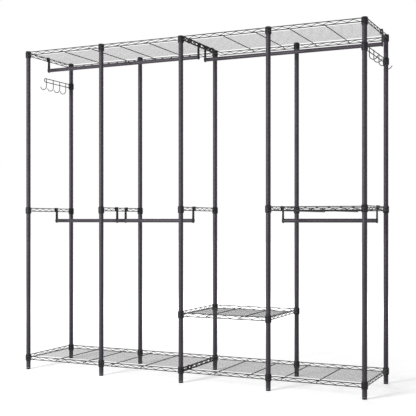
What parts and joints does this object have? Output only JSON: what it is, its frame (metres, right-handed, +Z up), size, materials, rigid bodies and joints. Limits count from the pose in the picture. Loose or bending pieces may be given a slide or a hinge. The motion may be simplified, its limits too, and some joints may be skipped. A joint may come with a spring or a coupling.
{
  "type": "open frame wardrobe",
  "caption": "Free-standing open wardrobe: round black posts carry wire shelves, side trusses, hanging rods on clips and hook racks, for hanging and storing clothes.",
  "frame": {"origin": "on the floor, under the middle of the frame's outline", "axes": "+X along the width to the viewer's right, +Y from the front row of posts to the rear row, +Z up"},
  "size_m": [2.2024, 0.505, 1.95],
  "materials": {
    "post_finish": "satin black powder coat",
    "wire_finish": "satin black powder coat",
    "rod_finish": "satin black powder coat",
    "clip_plastic": "moulded, fine texture",
    "cap_plastic": "moulded, fine texture",
    "sleeve_plastic": "moulded",
    "foot_plastic": "moulded, fine texture",
    "insert_plastic": "moulded grey",
    "stud_steel": "zinc plated"
  },
  "bodies": {
    "frame": {"post_front_1": "post_finish", "post_front_2": "post_finish", "post_front_3": "post_finish", "post_front_4": "post_finish", "post_front_5": "post_finish", "post_rear_1": "post_finish", "post_rear_2": "post_finish", "post_rear_3": "post_finish", "post_rear_4": "post_finish", "post_rear_5": "post_finish", "post_caps": "cap_plastic", "joining_studs": "stud_steel", "foot_inserts": "insert_plastic", "sleeves_shelf_top_left": "sleeve_plastic", "sleeves_shelf_top_right": "sleeve_plastic", "sleeves_shelf_bottom_left": "sleeve_plastic", "sleeves_shelf_bottom_right": "sleeve_plastic", "sleeves_shelf_low_bay_3": "sleeve_plastic", "sleeves_shelf_middle_bay_4": "sleeve_plastic", "sleeves_side_frame_1": "sleeve_plastic", "sleeves_side_frame_2": "sleeve_plastic", "sleeves_side_frame_3": "sleeve_plastic", "sleeves_hook_rack_left": "sleeve_plastic", "sleeves_hook_rack_right": "sleeve_plastic", "shelf_top_left": "wire_finish", "shelf_top_right": "wire_finish", "shelf_bottom_left": "wire_finish", "shelf_bottom_right": "wire_finish", "shelf_low_bay_3": "wire_finish", "shelf_middle_bay_4": "wire_finish", "side_frame_1": "wire_finish", "side_frame_2": "wire_finish", "side_frame_3": "wire_finish", "hook_rack_right": "wire_finish"},
    "foot_front_1": {"foot_front_1": "foot_plastic"},
    "foot_front_2": {"foot_front_2": "foot_plastic"},
    "foot_front_3": {"foot_front_3": "foot_plastic"},
    "foot_front_4": {"foot_front_4": "foot_plastic"},
    "foot_front_5": {"foot_front_5": "foot_plastic"},
    "foot_rear_1": {"foot_rear_1": "foot_plastic"},
    "foot_rear_2": {"foot_rear_2": "foot_plastic"},
    "foot_rear_3": {"foot_rear_3": "foot_plastic"},
    "foot_rear_4": {"foot_rear_4": "foot_plastic"},
    "foot_rear_5": {"foot_rear_5": "foot_plastic"},
    "rod_top_left": {"rod_top_left": "rod_finish", "brackets_top_left": "clip_plastic"},
    "rod_top_right": {"rod_top_right": "rod_finish", "brackets_top_right": "clip_plastic"},
    "rod_bay_1": {"rod_bay_1": "rod_finish", "brackets_bay_1": "clip_plastic"},
    "rod_bay_2": {"rod_bay_2": "rod_finish", "brackets_bay_2": "clip_plastic"},
    "rod_bay_4": {"rod_bay_4": "rod_finish", "brackets_bay_4": "clip_plastic"},
    "hook_rack_left": {"hook_rack_left": "wire_finish"}
  },
  "joints": [
    {"name": "foot_front_1_screw", "type": "slide", "parent": "frame", "child": "foot_front_1", "axis": [0, 0, -1], "range_m": [0, 0.012]},
    {"name": "foot_front_2_screw", "type": "slide", "parent": "frame", "child": "foot_front_2", "axis": [0, 0, -1], "range_m": [0, 0.012]},
    {"name": "foot_front_3_screw", "type": "slide", "parent": "frame", "child": "foot_front_3", "axis": [0, 0, -1], "range_m": [0, 0.012]},
    {"name": "foot_front_4_screw", "type": "slide", "parent": "frame", "child": "foot_front_4", "axis": [0, 0, -1], "range_m": [0, 0.012]},
    {"name": "foot_front_5_screw", "type": "slide", "parent": "frame", "child": "foot_front_5", "axis": [0, 0, -1], "range_m": [0, 0.012]},
    {"name": "foot_rear_1_screw", "type": "slide", "parent": "frame", "child": "foot_rear_1", "axis": [0, 0, -1], "range_m": [0, 0.012]},
    {"name": "foot_rear_2_screw", "type": "slide", "parent": "frame", "child": "foot_rear_2", "axis": [0, 0, -1], "range_m": [0, 0.012]},
    {"name": "foot_rear_3_screw", "type": "slide", "parent": "frame", "child": "foot_rear_3", "axis": [0, 0, -1], "range_m": [0, 0.012]},
    {"name": "foot_rear_4_screw", "type": "slide", "parent": "frame", "child": "foot_rear_4", "axis": [0, 0, -1], "range_m": [0, 0.012]},
    {"name": "foot_rear_5_screw", "type": "slide", "parent": "frame", "child": "foot_rear_5", "axis": [0, 0, -1], "range_m": [0, 0.012]},
    {"name": "rod_top_left_lift", "type": "slide", "parent": "frame", "child": "rod_top_left", "axis": [0, 0, 1], "range_m": [0, 0.03]},
    {"name": "rod_top_right_lift", "type": "slide", "parent": "frame", "child": "rod_top_right", "axis": [0, 0, 1], "range_m": [0, 0.03]},
    {"name": "rod_bay_1_slide", "type": "slide", "parent": "frame", "child": "rod_bay_1", "axis": [0, 1, 0], "range_m": [-0.04, 0.138]},
    {"name": "rod_bay_2_slide", "type": "slide", "parent": "frame", "child": "rod_bay_2", "axis": [0, 1, 0], "range_m": [-0.138, 0.04]},
    {"name": "rod_bay_4_lift", "type": "slide", "parent": "frame", "child": "rod_bay_4", "axis": [0, 0, 1], "range_m": [0, 0.03]},
    {"name": "hook_rack_left_swing", "type": "hinge", "parent": "frame", "child": "hook_rack_left", "pos_m": [-1.05, 0.23, 1.799], "axis": [0, 0, 1], "range_deg": [-90, 90]}
  ]
}
